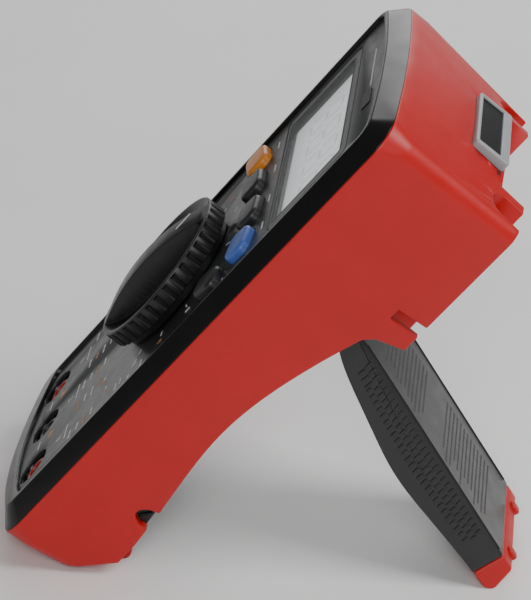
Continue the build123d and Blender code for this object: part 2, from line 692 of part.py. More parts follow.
with BuildPart() as buzzer:
    with BuildSketch(Plane.XY.offset(BOARD_TOP_Z - BOARD)):
        with Locations((-22, 36)):
            Circle(8.5)
            Circle(1.2, mode=Mode.SUBTRACT)
    extrude(amount=-4.0)

with BuildPart() as surge_discs:
    with BuildSketch(Plane.XZ.offset(57.2)):
        with Locations((-29.5, -14.4), (29.5, -14.4)):
            Circle(4.6)
    extrude(amount=3.0)

with BuildPart() as current_shunt:
    with BuildLine() as shunt_path:
        Polyline((-12.0, -62.0, -9.5), (-12.0, -62.0, -13.0), (12.0, -62.0, -13.0), (12.0, -62.0, -9.5))
        fillet(shunt_path.vertices().group_by(Axis.Z)[0], 2.5)
    with BuildSketch(Plane((-12.0, -62.0, -9.5), z_dir=(0, 0, -1))):
        Circle(0.9)
    sweep()

with BuildPart() as fuses:
    with BuildSketch(Plane.XZ.offset(FUSE_Y)):
        with Locations((-FUSE_X, FUSE_Z), (FUSE_X, FUSE_Z)):
            Circle(FUSE_R - 0.25)
    extrude(amount=FUSE_LENGTH / 2 - 7.0, both=True)

with BuildPart() as fuse_caps:
    for end in (-1, 1):
        with BuildSketch(Plane.XZ.offset(FUSE_Y + end * (FUSE_LENGTH / 2 - 3.5))):
            with Locations((-FUSE_X, FUSE_Z), (FUSE_X, FUSE_Z)):
                Circle(FUSE_R)
        extrude(amount=3.5, both=True)

with BuildPart() as fuse_clips:
    for end in (-1, 1):
        with BuildSketch(Plane.XZ.offset(FUSE_Y + end * (FUSE_LENGTH / 2 - 3.5))):
            for side in (-1, 1):
                with Locations((side * FUSE_X, FUSE_Z)):
                    Rectangle(2 * FUSE_R + 1.4, FUSE_R + 1.6, align=(Align.CENTER, Align.MIN))
                    Circle(FUSE_R, mode=Mode.SUBTRACT)
        extrude(amount=2.5, both=True)


# ---- Input jacks ----

def jack_post(x):
    """Return the insulating post around one jack."""
    with BuildPart() as post:
        with BuildSketch(Plane.XY.offset(POST_TOP_Z)):
            with Locations((x, JACK_Y)):
                Circle(POST_R)
        extrude(amount=SLEEVE_END_Z + 2.0 - POST_TOP_Z)
        fillet(post.faces().sort_by(Axis.Z)[-1].edges(), 0.6)
        drill([(x, JACK_Y)], SLEEVE_R, POST_TOP_Z + 1, SLEEVE_END_Z)
    return post.part


with BuildPart() as volt_jack_post:
    add(jack_post(JACK_PITCH))

with BuildPart() as common_jack_post:
    add(jack_post(0))

with BuildPart() as current_jack_post:
    add(jack_post(-JACK_PITCH))

with BuildPart() as jack_sleeves:
    with BuildSketch(Plane.XY.offset(SLEEVE_END_Z)):
        with Locations((-JACK_PITCH, JACK_Y), (0, JACK_Y), (JACK_PITCH, JACK_Y)):
            Circle(SLEEVE_R)
    extrude(amount=POST_TOP_Z - 0.6 - SLEEVE_END_Z)
    drill([(-JACK_PITCH, JACK_Y), (0, JACK_Y), (JACK_PITCH, JACK_Y)], BORE_R, 0, SLEEVE_END_Z + 1.4)


# ---- Data port ----

with BuildPart() as port_frame:
    with BuildSketch(Plane.XZ.offset(-PORT_FACE_Y)):
        with Locations((0, PORT_Z)):
            RectangleRounded(PORT[0] - 2 * GAP, PORT[1] - 2 * GAP, 1.1)
    extrude(amount=PORT_DEPTH)
    chamfer(port_frame.faces().sort_by(Axis.Y)[-1].edges(), 0.4)
    with BuildSketch(Plane.XZ.offset(-PORT_FACE_Y - 1)):
        with Locations((0, PORT_WINDOW_Z)):
            RectangleRounded(PORT_WINDOW[0], PORT_WINDOW[1], 0.6)
    extrude(amount=PORT_DEPTH + 2, mode=Mode.SUBTRACT)

with BuildPart() as port_window:
    with BuildSketch(Plane.XZ.offset(-PORT_FACE_Y + 0.6)):
        with Locations((0, PORT_WINDOW_Z)):
            RectangleRounded(PORT_WINDOW[0] - 2 * GAP, PORT_WINDOW[1] - 2 * GAP, 0.5)
    extrude(amount=2.0)

with BuildPart() as port_emitter:
    with BuildSketch(Plane.XZ.offset(-74)):
        with Locations((-6, PORT_Z), (6, PORT_Z)):
            Circle(2.5)
    extrude(amount=-6)


# ---- Battery ----

with BuildPart() as battery:
    with BuildSketch(Plane.XZ.offset(-BATTERY_Y)):
        with Locations((0, BATTERY_Z)):
            RectangleRounded(BATTERY[0], BATTERY[2], 2.0)
    extrude(amount=-BATTERY[1])

with BuildPart() as battery_terminals:
    with BuildSketch(Plane.XZ.offset(-BATTERY_Y - BATTERY[1])):
        with Locations((-6.35, BATTERY_Z)):
            Circle(2.9)
        with Locations((6.35, BATTERY_Z)):
            RegularPolygon(3.6, 6)
    extrude(amount=-2.4)

with BuildPart() as battery_snap:
    with BuildSketch(Plane.XZ.offset(-BATTERY_Y - BATTERY[1] - 2.5)):
        with Locations((0, BATTERY_Z)):
            RectangleRounded(24.0, 12.0, 2.0)
    extrude(amount=-2.0)

with BuildPart() as battery_door:
    with BuildSketch(Plane.XY.offset(DOOR_Z)):
        with Locations((0, DOOR_Y[0])):
            Rectangle(2 * DOOR_HALF, DOOR_Y[1] - DOOR_Y[0], align=(Align.CENTER, Align.MIN))
    extrude(amount=DOOR)
    fillet(battery_door.edges().filter_by(Axis.Z), 1.2)
    drill([(-DOOR_SCREW_X, DOOR_SCREW_Y), (DOOR_SCREW_X, DOOR_SCREW_Y)], 1.5, DOOR_Z + 3, DOOR_Z - 1)
    drill([(-DOOR_SCREW_X, DOOR_SCREW_Y), (DOOR_SCREW_X, DOOR_SCREW_Y)], 2.7, DOOR_Z + 1.2, DOOR_Z - 1)

with BuildPart() as battery_door_screws:
    with BuildSketch(Plane.XY.offset(DOOR_Z + 0.2)):
        with Locations((-DOOR_SCREW_X, DOOR_SCREW_Y), (DOOR_SCREW_X, DOOR_SCREW_Y)):
            Circle(2.6)
    extrude(amount=1.0)
    with BuildSketch(Plane.XY.offset(DOOR_Z + 0.2)):
        with Locations((-DOOR_SCREW_X, DOOR_SCREW_Y), (DOOR_SCREW_X, DOOR_SCREW_Y)):
            Circle(1.4)
    extrude(amount=7.0)
    with BuildSketch(Plane.XY.offset(DOOR_Z + 0.2)):
        with Locations((-DOOR_SCREW_X, DOOR_SCREW_Y), (DOOR_SCREW_X, DOOR_SCREW_Y)):
            Rectangle(3.4, 0.6)
            Rectangle(0.6, 3.4)
    extrude(amount=0.7, mode=Mode.SUBTRACT)

with BuildPart() as case_screws:
    with BuildSketch(Plane.XY.offset(-24.0)):
        with Locations(*BOSSES):
            Circle(2.6)
    extrude(amount=-2.0)
    with BuildSketch(Plane.XY.offset(-24.0)):
        with Locations(*BOSSES):
            Circle(1.2)
    extrude(amount=16.0)


# ---- Standing pose ----

# The stand swings open round its pins.
swing = Location((0, HINGE_Y, HINGE_Z), (OPEN_ANGLE, 0, 0)) * Location((0, -HINGE_Y, -HINGE_Z))
tip = swing * Location((0, HINGE_Y - FOOT_A, HINGE_Z - FOOT_B))
# The bottom end meets the slanted heel in a crest, which touches the bench on the centre line.
# The foot is round, so its centre sits one radius above the bench.
end_slope = END_DRAFT / (RIM_Z - BACK_Z)
crest_y = (BOTTOM_Y + end_slope * (RIM_Z - HEEL_Y - HEEL_Z)) / (1 - end_slope)
crest_z = HEEL_Y + HEEL_Z - crest_y
crest_to_tip = (crest_y - tip.position.Y, crest_z - tip.position.Z)
reach = math.hypot(crest_to_tip[0], crest_to_tip[1])
LEAN = 180 - math.degrees(math.asin(-FOOT_R / reach) + math.atan2(crest_to_tip[1], crest_to_tip[0]))

STAND_PIECES = {
    "stand_plate": stand_plate,
    "stand_foot": stand_foot,
}
PIECES = {
    "holster": holster,
    "front_case": front_case,
    "face_panel": face_panel,
    "display_window": display_window,
    "lcd_glass": lcd_glass,
    "lcd_frame": lcd_frame,
    "backlight": backlight,
    "zebra_strips": zebra_strips,
    "rear_case": rear_case,
    "port_frame": port_frame,
    "port_window": port_window,
    "port_emitter": port_emitter,
    "circuit_board": circuit_board,
    "keypad_mat": keypad_mat,
    "select_button": select_button,
    "range_button": range_button,
    "relative_button": relative_button,
    "hold_button": hold_button,
    "light_button": light_button,
    "selector_knob": selector_knob,
    "selector_rotor": selector_rotor,
    "rotor_contacts": rotor_contacts,
    "knob_screw": knob_screw,
    "volt_jack_post": volt_jack_post,
    "current_jack_post": current_jack_post,
    "common_jack_post": common_jack_post,
    "jack_sleeves": jack_sleeves,
    "fuses": fuses,
    "fuse_caps": fuse_caps,
    "fuse_clips": fuse_clips,
    "current_shunt": current_shunt,
    "measuring_chips": measuring_chips,
    "buzzer": buzzer,
    "surge_discs": surge_discs,
    "battery": battery,
    "battery_terminals": battery_terminals,
    "battery_snap": battery_snap,
    "battery_door": battery_door,
    "battery_door_screws": battery_door_screws,
    "case_screws": case_screws,
    "hinge_pins": hinge_pins,
}
PIECES.update(STAND_PIECES)

lean_back = Location((0, 0, 0), (LEAN, 0, 0))
turned = {}
for label, piece in PIECES.items():
    turned[label] = piece.part.moved(swing) if label in STAND_PIECES else piece.part
    turned[label] = turned[label].moved(lean_back)
box = Compound(children=list(turned.values())).bounding_box()
settle = Location((0, -(box.min.Y + box.max.Y) / 2, -box.min.Z))
print("lean", LEAN, "box", box.min, box.max)
hinge = settle * lean_back * Location((0, HINGE_Y, HINGE_Z))
knob = settle * lean_back * Location((0, KNOB_Y, 0))
print("hinge", hinge.position, "knob", knob.position)
for label, piece in turned.items():
    piece.label = label
    piece.parent = None
    piece.move(settle)
    print(label, len(piece.solids()), round(piece.volume), piece.is_valid)
    export_step(piece, f"parts/{label}.step")
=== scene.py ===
import json
import math
import random

import bmesh
import bpy
from mathutils import Matrix, Vector


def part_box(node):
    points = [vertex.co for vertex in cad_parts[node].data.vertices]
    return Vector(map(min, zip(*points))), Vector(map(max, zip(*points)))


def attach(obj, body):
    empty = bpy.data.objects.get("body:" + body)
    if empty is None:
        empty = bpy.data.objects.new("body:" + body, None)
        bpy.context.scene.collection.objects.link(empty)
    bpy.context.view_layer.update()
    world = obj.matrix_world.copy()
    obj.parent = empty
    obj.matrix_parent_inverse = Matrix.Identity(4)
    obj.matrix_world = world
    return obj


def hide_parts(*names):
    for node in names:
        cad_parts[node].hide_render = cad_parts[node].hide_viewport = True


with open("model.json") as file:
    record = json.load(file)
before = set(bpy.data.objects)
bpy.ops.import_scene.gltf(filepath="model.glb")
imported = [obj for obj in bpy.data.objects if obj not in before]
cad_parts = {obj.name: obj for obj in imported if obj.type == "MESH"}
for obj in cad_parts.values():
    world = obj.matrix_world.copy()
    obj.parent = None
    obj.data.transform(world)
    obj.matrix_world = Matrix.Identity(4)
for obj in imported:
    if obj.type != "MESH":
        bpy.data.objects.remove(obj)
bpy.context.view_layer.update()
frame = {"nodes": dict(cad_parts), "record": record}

# The looks of a handheld digital multimeter that leans on its open tilt stand.
# Details are laid out in millimetres, in two frames that come from the record's joints:
# the face (x right, y up the length, z out of the face plate) and the stand (x right,
# y away from the hinge, z out of its outer face).

MM = 0.001

# Places that the CAD model uses too.
KNOB_Y = -9.45
JACK_Y = -75.5
JACK_X = (-24.0, 0.0, 24.0)
WINDOW_Y = 54.6              # middle of the clear cover over the display
LCD_Y = 53.8                 # middle of the visible part of the display
STAND_TOP_HALF = 21.0        # half width of the stand at its outer face
STAND_HALF = 24.2            # half width of the stand at its inner edge
STAND_FACE = 5.5             # outer face of the stand, measured out from the hinge line

joints = {joint["name"]: joint for joint in frame["record"]["behaviour"]["joints"]}
RIGHT = Vector((1, 0, 0))
NORMAL = Vector(joints["selector_turn"]["axis"]).normalized()
LENGTH = Vector((0, NORMAL.z, -NORMAL.y))
OPEN = math.radians(-joints["stand_hinge"]["range_deg"][0])
ALONG = -LENGTH * math.cos(OPEN) - NORMAL * math.sin(OPEN)
OUT = LENGTH * math.sin(OPEN) - NORMAL * math.cos(OPEN)


def frame_matrix(origin, along, out):
    """Return the matrix of a millimetre frame with the given second and third axes."""
    matrix = Matrix((RIGHT, along, out)).transposed().to_4x4()
    matrix.translation = origin
    return matrix @ Matrix.Scale(MM, 4)


FACE = frame_matrix(Vector(joints["selector_turn"]["pos_m"]) - LENGTH * KNOB_Y * MM, LENGTH, NORMAL)
STAND = frame_matrix(Vector(joints["stand_hinge"]["pos_m"]), ALONG, OUT)
KNOB = FACE @ Matrix.Translation((0, KNOB_Y, 0))


def side_frame(side):
    """Return the frame of a side wall: x up the length, y out of the face, z out of that side."""
    return FACE @ Matrix(((0, 0, side, 0), (1, 0, 0, 0), (0, 1, 0, 0), (0, 0, 0, 1)))


# ---- Materials ----

RAMP = (0.3, 0.7)            # stretch of the noise over which the colour changes
SMEAR = 3.1                  # the gloss varies this many times finer than the colour
WEAR = 0.25                  # share by which the gloss varies
GRAIN_DEPTH = 0.0002         # height of the surface's grain at full strength, in metres
# Painted glow: emission that brightens the display and its unlit digits, which give no light of their own.
PAINTED_SCREEN_GLOW = (0.86, 0.87, 0.90, 1)


def node_of(tree, kind, **inputs):
    """Add a shader node and set its named inputs."""
    node = tree.nodes.new(kind)
    for name, value in inputs.items():
        node.inputs[name.replace("_", " ")].default_value = value
    return node


def finish_of(name, colour, rough, spread=0.12, blotch=60.0, grain=2500.0, depth=0.06, **sockets):
    """Make a material whose colour, gloss and surface all vary over the part."""
    material = bpy.data.materials.new(name)
    material.use_nodes = True
    tree = material.node_tree
    shader = tree.nodes["Principled BSDF"]
    link = tree.links.new
    place = tree.nodes.new("ShaderNodeTexCoord")
    cloud = node_of(tree, "ShaderNodeTexNoise", Scale=blotch, Detail=4.0, Roughness=0.6)
    link(place.outputs["Object"], cloud.inputs["Vector"])
    shades = tree.nodes.new("ShaderNodeValToRGB")
    shades.color_ramp.elements[0].position = RAMP[0]
    shades.color_ramp.elements[1].position = RAMP[1]
    shades.color_ramp.elements[0].color = (*[c * (1 - spread) for c in colour], 1)
    shades.color_ramp.elements[1].color = (*[min(c * (1 + spread), 1) for c in colour], 1)
    link(cloud.outputs["Fac"], shades.inputs["Fac"])
    link(shades.outputs["Color"], shader.inputs["Base Color"])
    smear = node_of(tree, "ShaderNodeTexNoise", Scale=blotch * SMEAR, Detail=3.0)
    link(place.outputs["Object"], smear.inputs["Vector"])
    gloss = tree.nodes.new("ShaderNodeMapRange")
    gloss.inputs["To Min"].default_value = rough * (1 - WEAR)
    gloss.inputs["To Max"].default_value = min(rough * (1 + WEAR), 1)
    link(smear.outputs["Fac"], gloss.inputs["Value"])
    link(gloss.outputs["Result"], shader.inputs["Roughness"])
    if depth:
        fine = node_of(tree, "ShaderNodeTexNoise", Scale=grain, Detail=2.0)
        link(place.outputs["Object"], fine.inputs["Vector"])
        bump = node_of(tree, "ShaderNodeBump", Strength=depth, Distance=GRAIN_DEPTH)
        link(fine.outputs["Fac"], bump.inputs["Height"])
        link(bump.outputs["Normal"], shader.inputs["Normal"])
    for socket, value in sockets.items():
        shader.inputs[socket.replace("_", " ")].default_value = value
    return material


# One finish for each material slot: its colour and roughness, then how far the colour spreads,
# the scales of the blotches and of the grain, and the strength of the grain.
finishes = {
    "red_rubber": finish_of("red_rubber", (0.47, 0.0015, 0.002), 0.42, 0.05, 35, 3200, 0.10,
                            Specular_IOR_Level=0.45),
    "black_gloss": finish_of("black_gloss", (0.004, 0.004, 0.004), 0.24, 0.2, 50, 2800, 0.03,
                             Specular_IOR_Level=0.30),
    "panel": finish_of("panel", (0.028, 0.029, 0.031), 0.33, 0.10, 90, 4200, 0.06, Specular_IOR_Level=0.32),
    "clear": finish_of("clear", (0.75, 0.78, 0.78), 0.06, 0.02, 40, 900, 0.0, Alpha=0.12),
    # The display's emission is painted glow.
    "lcd": finish_of("lcd", (0.80, 0.82, 0.82), 0.35, 0.02, 18, 5200, 0.03,
                     Emission_Color=PAINTED_SCREEN_GLOW, Emission_Strength=0.45),
    "lcd_frame_plastic": finish_of("lcd_frame_plastic", (0.02, 0.02, 0.022), 0.5),
    "light_guide": finish_of("light_guide", (0.80, 0.82, 0.84), 0.25, 0.03),
    "zebra": finish_of("zebra", (0.05, 0.05, 0.05), 0.6, 0.5, 1600),
    "black_case": finish_of("black_case", (0.012, 0.012, 0.013), 0.42, 0.2, 70, 3200, 0.15),
    "port_grey": finish_of("port_grey", (0.30, 0.31, 0.32), 0.42, 0.08, 80, 3600, 0.08),
    "port_dark": finish_of("port_dark", (0.002, 0.002, 0.002), 0.34, 0.3, 60, 900, 0.0,
                           Specular_IOR_Level=0.12),
    "emitter": finish_of("emitter", (0.10, 0.11, 0.16), 0.12, 0.1),
    "board": finish_of("board", (0.02, 0.11, 0.045), 0.38, 0.25, 240, 1400, 0.1),
    "mat_rubber": finish_of("mat_rubber", (0.35, 0.35, 0.34), 0.7, 0.08),
    "orange_key": finish_of("orange_key", (0.62, 0.205, 0.012), 0.36, 0.06, 70, 3600, 0.08),
    "grey_key": finish_of("grey_key", (0.016, 0.016, 0.017), 0.40, 0.10, 70, 3600, 0.10),
    "blue_key": finish_of("blue_key", (0.055, 0.125, 0.45), 0.36, 0.06, 70, 3600, 0.08),
    "black_key": finish_of("black_key", (0.014, 0.014, 0.015), 0.38, 0.12, 70, 3600, 0.10),
    "knob_black": finish_of("knob_black", (0.005, 0.005, 0.005), 0.38, 0.18, 80, 3400, 0.10),
    "rotor_plastic": finish_of("rotor_plastic", (0.45, 0.44, 0.40), 0.5),
    "contact_metal": finish_of("contact_metal", (0.80, 0.62, 0.32), 0.28, 0.06, Metallic=1.0),
    "screw_steel": finish_of("screw_steel", (0.42, 0.42, 0.43), 0.34, 0.10, Metallic=1.0),
    "jack_red": finish_of("jack_red", (0.36, 0.016, 0.016), 0.34, 0.06, 120),
    "jack_black": finish_of("jack_black", (0.010, 0.010, 0.011), 0.34, 0.15, 120),
    "sleeve_brass": finish_of("sleeve_brass", (0.62, 0.47, 0.25), 0.30, 0.10, 200, Metallic=1.0),
    "ceramic": finish_of("ceramic", (0.72, 0.70, 0.65), 0.35, 0.04),
    "cap_metal": finish_of("cap_metal", (0.62, 0.61, 0.58), 0.25, 0.06, Metallic=1.0),
    "clip_metal": finish_of("clip_metal", (0.60, 0.58, 0.52), 0.35, 0.08, Metallic=1.0),
    "shunt_metal": finish_of("shunt_metal", (0.48, 0.36, 0.27), 0.4, 0.10, Metallic=1.0),
    "chip_black": finish_of("chip_black", (0.02, 0.02, 0.02), 0.5, 0.15, 300),
    "disc_blue": finish_of("disc_blue", (0.03, 0.10, 0.35), 0.35, 0.08),
    "battery_jacket": finish_of("battery_jacket", (0.05, 0.05, 0.055), 0.3, 0.2),
    "stand_grey": finish_of("stand_grey", (0.013, 0.0135, 0.014), 0.34, 0.10, 60, 3000, 0.16),
    "foot_red": finish_of("foot_red", (0.46, 0.004, 0.004), 0.48, 0.06, 80, 2600, 0.14),
}
light_ink = finish_of("light_ink", (0.68, 0.68, 0.68), 0.5, 0.10, 900)
orange_ink = finish_of("orange_ink", (0.55, 0.25, 0.08), 0.5, 0.10, 900)
dark_ink = finish_of("dark_ink", (0.012, 0.012, 0.013), 0.5, 0.15, 900)
# The unlit digits' emission is painted glow as well.
digit_grey = finish_of("digit_grey", (0.62, 0.64, 0.64), 0.35, 0.03, 200, 900, 0.0,
                       Emission_Color=PAINTED_SCREEN_GLOW, Emission_Strength=0.33)
floor_paint = finish_of("floor_paint", (0.86, 0.86, 0.85), 0.75, 0.015, 6, 300, 0.02)


# ---- Pieces ----

SHARP = 32.0                 # edges that turn by more degrees than this are rounded
LEVEL = 0.4                  # faces that turn by fewer degrees than this are merged
SAME_POINT = 0.002           # points closer than this are one point
SLIVER = 0.01                # edges shorter than this are taken out
BESIDE = 2.5                 # how far round a node its finer rounding reaches
FINER = 0.3                  # the finer rounding, as a share of the full one


def show(name, mesh, body, slot, material=None):
    """Put a finished mesh in the scene, riding on a CAD body."""
    piece = bpy.data.objects.new(name, mesh)
    bpy.context.scene.collection.objects.link(piece)
    mesh.materials.clear()
    mesh.materials.append(material or finishes[slot])
    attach(piece, body)
    return piece


def round_edges(piece, width, segments=3, angle=SHARP):
    """Round the sharp edges of a piece and carry the flat faces' shading over the rounding."""
    bevel = piece.modifiers.new("rounding", "BEVEL")
    bevel.width = width * MM
    bevel.segments = segments
    bevel.limit_method = "ANGLE"
    bevel.angle_limit = math.radians(angle)
    bevel.use_clamp_overlap = False
    bevel.harden_normals = True
    piece.data.shade_smooth()


def cleaned(node, level):
    """Return a copy of a CAD node's mesh with its level triangles merged into whole faces."""
    mesh = frame["nodes"][node].data.copy()
    form = bmesh.new()
    form.from_mesh(mesh)
    bmesh.ops.remove_doubles(form, verts=form.verts, dist=SAME_POINT * MM)
    bmesh.ops.dissolve_limit(form, angle_limit=math.radians(level), verts=form.verts, edges=form.edges)
    bmesh.ops.dissolve_degenerate(form, dist=SLIVER * MM, edges=form.edges)
    form.to_mesh(mesh)
    form.free()
    return mesh


def ease_edges(mesh, near, angle):
    """Weigh the sharp edges of a mesh: those beside another node get a finer rounding."""
    low_corner, high_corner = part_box(near)
    form = bmesh.new()
    form.from_mesh(mesh)
    weight = form.edges.layers.float.new("bevel_weight_edge")
    margin = BESIDE * MM
    for edge in form.edges:
        if len(edge.link_faces) == 2 and edge.calc_face_angle(0) > math.radians(angle):
            middle = (edge.verts[0].co + edge.verts[1].co) / 2
            beside = all(low_corner[i] - margin < middle[i] < high_corner[i] + margin for i in range(3))
            edge[weight] = FINER if beside else 1.0
    form.to_mesh(mesh)
    form.free()


def rework(node, body, slot, width, segments=3, angle=SHARP, level=LEVEL, near=None):
    """Show a CAD node as an edge-rounded copy, with a finer rounding beside the node near."""
    piece = show(node + "_form", cleaned(node, level), body, slot)
    if near:
        ease_edges(piece.data, near, angle)
    round_edges(piece, width, segments, angle)
    if near:
        piece.modifiers["rounding"].limit_method = "WEIGHT"
    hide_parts(node)


class Shape:
    """Collects solids and thin sheets, which become one mesh."""

    def __init__(self):
        self.form = bmesh.new()

    def prism(self, corners, low, high, place=Matrix.Identity(4)):
        """Add a solid over a closed outline between two heights."""
        foot = [self.form.verts.new(place @ Vector((x, y, low))) for x, y in corners]
        top = [self.form.verts.new(place @ Vector((x, y, high))) for x, y in corners]
        self.form.faces.new(foot[::-1])
        self.form.faces.new(top)
        for i in range(len(corners)):
            j = (i + 1) % len(corners)
            self.form.faces.new((foot[i], foot[j], top[j], top[i]))

    def stroke(self, start, end, width, low, high, place=Matrix.Identity(4)):
        """Add a straight bar between two points."""
        run = Vector(end) - Vector(start)
        side = Vector((-run.y, run.x)).normalized() * width / 2
        corners = [Vector(start) + side, Vector(start) - side, Vector(end) - side, Vector(end) + side]
        self.prism([tuple(c) for c in corners], low, high, place)

    def band(self, outline, width, low, high):
        """Add a bar of even width that follows a closed outline."""
        points = [Vector(p) for p in outline]
        count = len(points)
        rings = []
        for i, point in enumerate(points):
            run = (points[(i + 1) % count] - points[i - 1]).normalized()
            side = Vector((-run.y, run.x)) * width / 2
            left, right = point + side, point - side
            ring = [(*left, low), (*right, low), (*right, high), (*left, high)]
            rings.append([self.form.verts.new(Vector(corner)) for corner in ring])
        for i in range(count):
            here, there = rings[i], rings[(i + 1) % count]
            for k in range(4):
                m = (k + 1) % 4
                self.form.faces.new((here[k], there[k], there[m], here[m]))

    def sheet(self, outer, inner, height):
        """Add a flat sheet between two outlines with the same number of points."""
        rings = [[self.form.verts.new((x, y, height)) for x, y in ring] for ring in (outer, inner)]
        for i in range(len(outer)):
            j = (i + 1) % len(outer)
            self.form.faces.new((rings[0][i], rings[0][j], rings[1][j], rings[1][i]))

    def done(self, name, body, slot, place, material=None, rounding=0.0):
        """Finish the mesh in the given frame and show it."""
        self.form.transform(place)
        bmesh.ops.recalc_face_normals(self.form, faces=self.form.faces)
        mesh = bpy.data.meshes.new(name)
        self.form.to_mesh(mesh)
        self.form.free()
        piece = show(name, mesh, body, slot, material)
        if rounding:
            round_edges(piece, rounding, 2)


def circle(centre, radius, count):
    """Return points round a circle, clockwise from straight up."""
    turns = [math.radians(360 * i / count) for i in range(count)]
    return [(centre[0] + radius * math.sin(t), centre[1] + radius * math.cos(t)) for t in turns]


def rounded_box(centre, width, height, radius, steps=6):
    """Return the outline of a rounded rectangle."""
    points = []
    corners = ((1, 1, 0), (-1, 1, 90), (-1, -1, 180), (1, -1, 270))
    for sx, sy, turn in corners:
        for i in range(steps + 1):
            t = math.radians(turn + 90 * i / steps)
            points.append((
                centre[0] + sx * (width / 2 - radius) + radius * math.cos(t),
                centre[1] + sy * (height / 2 - radius) + radius * math.sin(t),
            ))
    return points


# ---- CAD nodes that keep their shape ----

slots = {part["node"]: part["material_slot"] for part in frame["record"]["subparts"]}
for node, slot in slots.items():
    data = frame["nodes"][node].data
    data.materials.clear()
    data.materials.append(finishes[slot])

# ---- Edge-rounded copies of the outer CAD nodes ----

rework("holster", "meter", "red_rubber", 0.42, segments=4, level=0.02, near="port_frame")
rework("front_case", "meter", "black_gloss", 0.35)
rework("face_panel", "meter", "panel", 0.12, segments=2)
rework("rear_case", "meter", "black_case", 0.30, segments=2)
rework("battery_door", "meter", "black_case", 0.25, segments=2)
rework("port_frame", "meter", "port_grey", 0.22)
rework("selector_knob", "knob", "knob_black", 0.30, angle=38.0, level=0.01)
rework("stand_plate", "stand", "stand_grey", 0.50)
rework("stand_foot", "stand", "foot_red", 0.80)
rework("volt_jack_post", "meter", "jack_red", 0.15)
rework("current_jack_post", "meter", "jack_red", 0.15)
rework("common_jack_post", "meter", "jack_black", 0.15)
for key in ("select", "range", "relative", "hold", "light"):
    rework(key + "_button", key + "_key", slots[key + "_button"], 0.20)

# ---- Print on the face panel ----

PRINT = 0.06                 # height of a printed mark
STOPS = 11                   # marked places of the knob
SWEEP = 120                  # degrees from the top of the dial to its last mark
TICK_ENDS = (26.6, 28.6)     # inner and outer end of a tick, from the middle of the knob
NUMERAL = 3.4                # size of a numeral
NUMERAL_RING = (32.2, 31.6)  # half width and half height of the ring of numerals
OUTER_SWEEP = 126            # the same for the outer ring of small marks
OUTER_RING = (37.2, 37.2)
OUTER_HALF = 36              # marks beyond this half width or above this height are left out
OUTER_TOP = 14
# Places of the small two-bar words at the lower right of the knob.
SIDE_WORDS = (
    (33.0, -21.0), (34.5, -27.0), (31.0, -33.5), (24.5, -39.5), (16.0, -42.0), (37.0, -35.0), (36.5, -41.0),
)
ORANGE_BELOW = -38           # the second bar of a word below this height is orange
LOWER_ROWS = (-45.5, -49.0, -52.5, -56.0)
LOWER_COLUMNS = (-30.0, -13.0, 0.0, 13.0, 30.0)
BUTTON_BARS = ((-27.5, 33.6), (-10.6, 34.2), (9.8, 34.6), (26.4, 33.8), (37.4, 17.2))
JACK_NUMERAL_UP = 12.6       # heights above the middles of the jacks
JACK_BAR_UP = 16.4
ARROW_UP = (5, 8.2)
ARROW_HALF = 1.8
BADGE = (14.2, 78.8)
BADGE_SIZE = (10.0, 3.8)
BADGE_HIGH = 0.35

light_marks = Shape()
orange_marks = Shape()


def around_knob(stop, sweep, ring):
    """Return the place of a stop on a ring around the knob."""
    turn = math.radians(-sweep + 2 * sweep * stop / (STOPS - 1))
    return ring[0] * math.sin(turn), KNOB_Y + ring[1] * math.cos(turn)


def print_bars(shape, x, y, width, *spans):
    """Print level bars in one line, which stand in for a word. Spans are measured from x."""
    for start, end in spans:
        shape.stroke((x + start, y), (x + end, y), width, 0, PRINT)


def print_numeral(shape, text, centre):
    """Print a small numeral."""
    curve = bpy.data.curves.new("numerals", "FONT")
    curve.body = text
    curve.size = NUMERAL
    curve.align_x = "CENTER"
    curve.align_y = "CENTER"
    curve.resolution_u = 2
    curve.extrude = PRINT / 2
    holder = bpy.data.objects.new("numerals", curve)
    bpy.context.scene.collection.objects.link(holder)
    bpy.context.view_layer.update()
    mesh = bpy.data.meshes.new_from_object(holder.evaluated_get(bpy.context.evaluated_depsgraph_get()))
    bpy.data.objects.remove(holder)
    mesh.transform(Matrix.Translation((centre[0], centre[1], PRINT / 2)))
    shape.form.from_mesh(mesh)
    bpy.data.meshes.remove(mesh)
    bpy.data.curves.remove(curve)


def print_dial():
    """Print the ticks, the numerals and the outer marks around the knob."""
    for stop in range(STOPS):
        inner_end, outer_end = [around_knob(stop, SWEEP, (r, r)) for r in TICK_ENDS]
        light_marks.stroke(inner_end, outer_end, 0.55, 0, PRINT)
    for stop in range(STOPS):
        shape = light_marks if stop % 3 else orange_marks
        print_numeral(shape, str(stop), around_knob(stop, SWEEP, NUMERAL_RING))
    for stop in range(STOPS):
        spot = Vector(around_knob(stop, OUTER_SWEEP, OUTER_RING))
        if abs(spot.x) < OUTER_HALF and spot.y < OUTER_TOP:
            shape = orange_marks if stop % 2 else light_marks
            print_bars(shape, spot.x, spot.y, 0.7, (-1.5, 0.3), (0.9, 1.7))
    for x, y in SIDE_WORDS:
        print_bars(light_marks, x, y, 0.95, (-1.8, -0.3))
        print_bars(orange_marks if y < ORANGE_BELOW else light_marks, x, y, 0.95, (0.3, 1.8))


def print_jack_marks():
    """Print a numeral and a bar above each jack, and a line and an arrow between two jacks."""
    for index, x in enumerate(JACK_X):
        print_numeral(light_marks, str(index + 1), (x, JACK_Y + JACK_NUMERAL_UP))
        print_bars(light_marks, x, JACK_Y + JACK_BAR_UP, 0.5, (-4.2, 4.2))
    for left, right in zip(JACK_X, JACK_X[1:]):
        middle = (left + right) / 2
        print_bars(light_marks, middle, JACK_Y, 0.5, (-2.4, 2.4))
        foot, tip = [JACK_Y + up for up in ARROW_UP]
        arrow = [(middle - ARROW_HALF, foot), (middle + ARROW_HALF, foot), (middle, tip)]
        orange_marks.prism(arrow, 0, PRINT)


